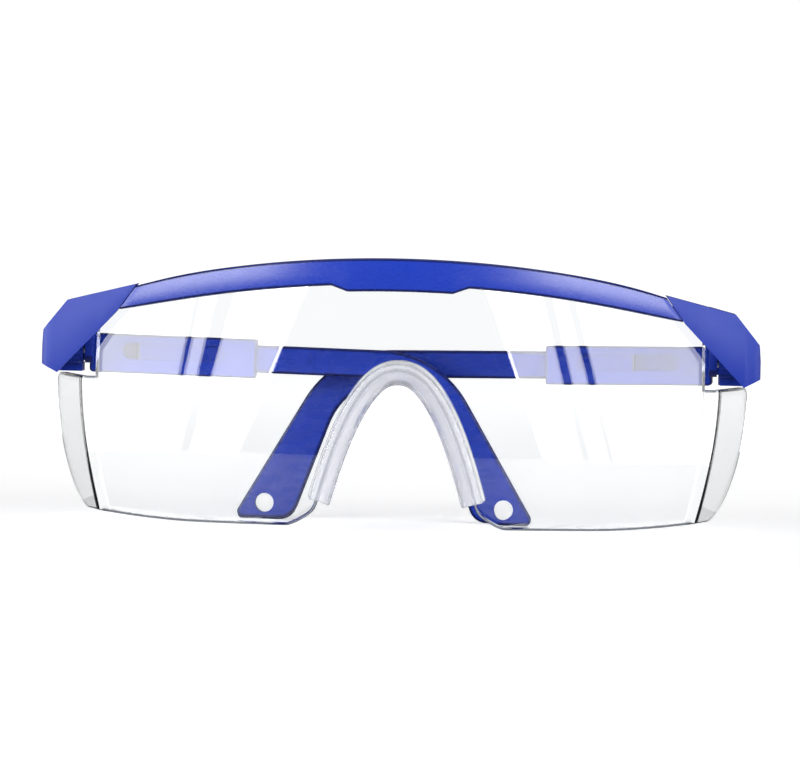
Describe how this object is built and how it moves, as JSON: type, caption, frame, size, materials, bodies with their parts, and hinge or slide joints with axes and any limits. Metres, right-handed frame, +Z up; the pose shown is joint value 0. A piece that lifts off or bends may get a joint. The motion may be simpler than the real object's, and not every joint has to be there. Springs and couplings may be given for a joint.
{
  "type": "safety glasses",
  "caption": "Wraparound safety spectacles with a one-piece clear lens and side shields, blue brow bar, and temples that fold, tilt in steps and telescope.",
  "frame": {"origin": "centre of the footprint, on the surface that the folded glasses stand on", "axes": "+X to the right of someone looking at the lens from outside, across both hinges; +Y back towards the wearer; +Z up"},
  "size_m": [0.1554, 0.0543, 0.0574],
  "materials": {
    "blue_nylon": "moulded glossy deep blue nylon",
    "lens_polycarbonate": "clear polished polycarbonate",
    "nose_clear": "clear soft moulding, slightly hazy",
    "pin_steel": "plain steel pin"
  },
  "bodies": {
    "frame": {"brow_bar": "blue_nylon", "lens": "lens_polycarbonate", "nose_piece": "nose_clear", "left_hinge_housing": "blue_nylon", "right_hinge_housing": "blue_nylon", "left_tilt_pin": "pin_steel", "right_tilt_pin": "pin_steel"},
    "left_knuckle": {"left_ratchet_knuckle": "blue_nylon", "left_fold_pin": "pin_steel"},
    "left_sleeve": {"left_temple_sleeve": "blue_nylon"},
    "left_arm": {"left_temple_arm": "blue_nylon"},
    "right_knuckle": {"right_ratchet_knuckle": "blue_nylon", "right_fold_pin": "pin_steel"},
    "right_sleeve": {"right_temple_sleeve": "blue_nylon"},
    "right_arm": {"right_temple_arm": "blue_nylon"}
  },
  "joints": [
    {"name": "left_tilt", "type": "hinge", "parent": "frame", "child": "left_knuckle", "pos_m": [-0.0714, 0.00365, 0.036], "axis": [1, 0, 0], "range_deg": [0, 10]},
    {"name": "left_fold", "type": "hinge", "parent": "left_knuckle", "child": "left_sleeve", "pos_m": [-0.0714, 0.01016, 0.03521], "axis": [0, 0, 1], "range_deg": [0, 93.5]},
    {"name": "left_length", "type": "slide", "parent": "left_sleeve", "child": "left_arm", "axis": [0.9989, -0.0436, -0.0175], "range_m": [0, 0.0099]},
    {"name": "right_tilt", "type": "hinge", "parent": "frame", "child": "right_knuckle", "pos_m": [0.0714, 0.00365, 0.036], "axis": [1, 0, 0], "range_deg": [0, 10]},
    {"name": "right_fold", "type": "hinge", "parent": "right_knuckle", "child": "right_sleeve", "pos_m": [0.0714, 0.01016, 0.03521], "axis": [0, 0, -1], "range_deg": [0, 86.5]},
    {"name": "right_length", "type": "slide", "parent": "right_sleeve", "child": "right_arm", "axis": [-0.9968, 0.0784, -0.0175], "range_m": [-0.0066, 0.0033]}
  ]
}
